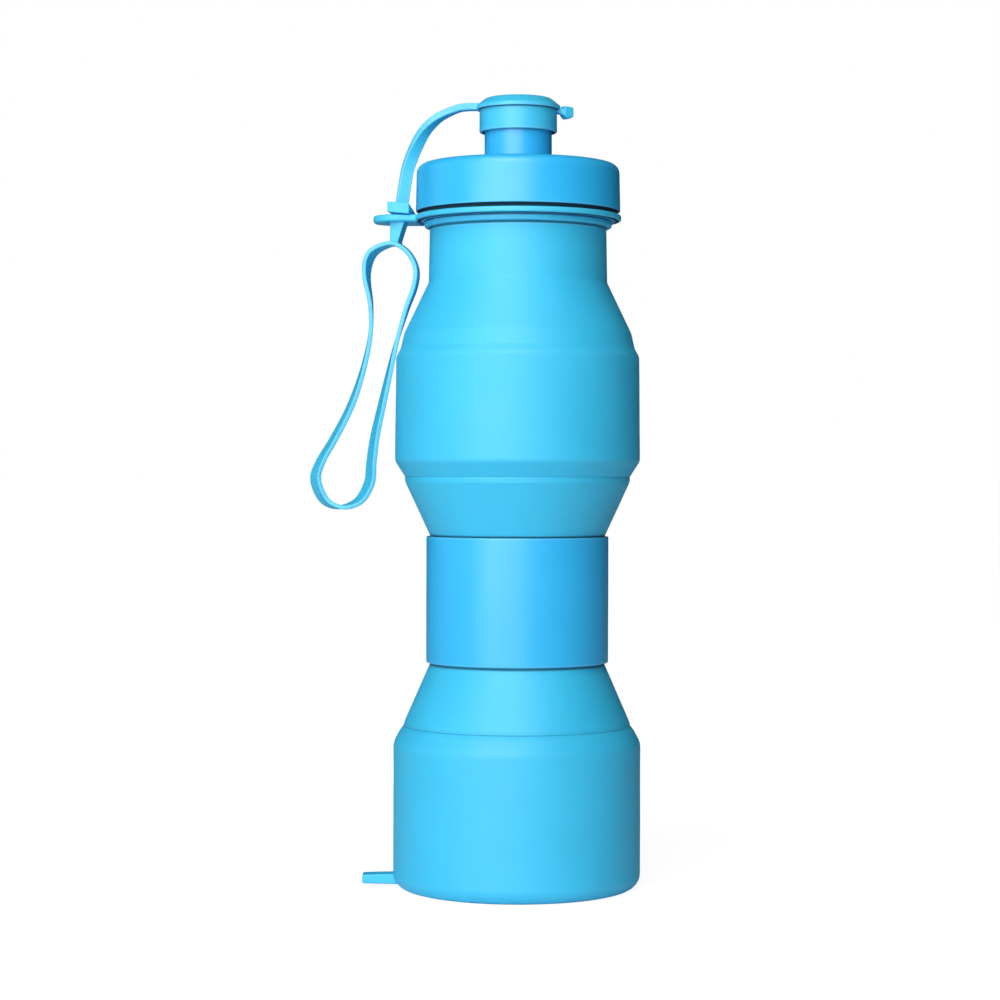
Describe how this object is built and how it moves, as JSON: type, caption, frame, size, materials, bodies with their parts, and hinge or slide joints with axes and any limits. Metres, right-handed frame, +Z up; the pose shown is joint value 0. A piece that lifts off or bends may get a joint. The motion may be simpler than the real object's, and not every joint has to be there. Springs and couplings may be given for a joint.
{
  "type": "folding water bottle",
  "caption": "Round silicone drinking bottle that folds down into itself, with a grip collar, a screw lid, a capped spout and a hanging loop.",
  "frame": {"origin": "centre of the base's underside, where the bottle stands", "axes": "+Z up along the bottle's axis, -X towards the strap tab, the carry loop and the fold peg"},
  "size_m": [0.0993, 0.075, 0.2395],
  "materials": {
    "silicone_body": "matt moulded silicone",
    "silicone_fold": "matt moulded silicone, thin and soft",
    "silicone_strap": "matt moulded silicone",
    "collar_plastic": "satin moulded polypropylene",
    "lid_plastic": "satin moulded polypropylene",
    "insert_plastic": "natural moulded polypropylene",
    "gasket_silicone": "soft white silicone"
  },
  "bodies": {
    "base": {"base_cup": "silicone_body", "lower_fold_wall": "silicone_fold"},
    "waist": {"waist_tube": "silicone_body", "grip_collar": "collar_plastic", "middle_fold_wall": "silicone_fold"},
    "barrel": {"barrel_wall": "silicone_body", "shoulder_fold_wall": "silicone_fold"},
    "neck": {"neck_sleeve": "silicone_body", "neck_insert": "insert_plastic"},
    "lid_lift": {"lid_gasket": "gasket_silicone"},
    "lid": {"screw_lid": "lid_plastic"},
    "ring": {"strap_ring": "silicone_strap", "strap_anchor": "silicone_strap", "cap_tether": "silicone_strap"},
    "cap": {"spout_cap": "silicone_strap"},
    "loop": {"strap_neck": "silicone_strap", "carry_loop": "silicone_strap"}
  },
  "joints": [
    {"name": "lower_fold", "type": "slide", "parent": "base", "child": "waist", "axis": [0, 0, -1], "range_m": [0, 0.038], "deforming": ["lower_fold_wall"]},
    {"name": "middle_fold", "type": "slide", "parent": "waist", "child": "barrel", "axis": [0, 0, -1], "range_m": [0, 0.031], "deforming": ["middle_fold_wall"]},
    {"name": "shoulder_fold", "type": "slide", "parent": "barrel", "child": "neck", "axis": [0, 0, -1], "range_m": [0, 0.0266], "deforming": ["shoulder_fold_wall"]},
    {"name": "lid_rise", "type": "slide", "parent": "neck", "child": "lid_lift", "axis": [0, 0, 1], "range_m": [0, 0.012]},
    {"name": "lid_turn", "type": "hinge", "parent": "lid_lift", "child": "lid", "pos_m": [0, 0, 0.2105], "axis": [0, 0, 1], "range_deg": [0, 1080]},
    {"name": "ring_swivel", "type": "hinge", "parent": "lid_lift", "child": "ring", "pos_m": [0, 0, 0.203], "axis": [0, 0, 1], "continuous": true},
    {"name": "cap_flip", "type": "hinge", "parent": "ring", "child": "cap", "pos_m": [-0.035, -0.0015, 0.232], "axis": [0, -1, 0], "range_deg": [0, 150], "deforming": ["cap_tether"]},
    {"name": "loop_swing", "type": "hinge", "parent": "ring", "child": "loop", "pos_m": [-0.0372, -0.0015, 0.2023], "axis": [0, 1, 0], "range_deg": [0, 30.1]}
  ],
  "couplings": [
    {"joint": "lid_rise", "follows": "lid_turn", "m_per_rad": 0.00063662},
    {"joint": "loop_swing", "follows": "shoulder_fold", "rad_per_m": 19.7}
  ]
}
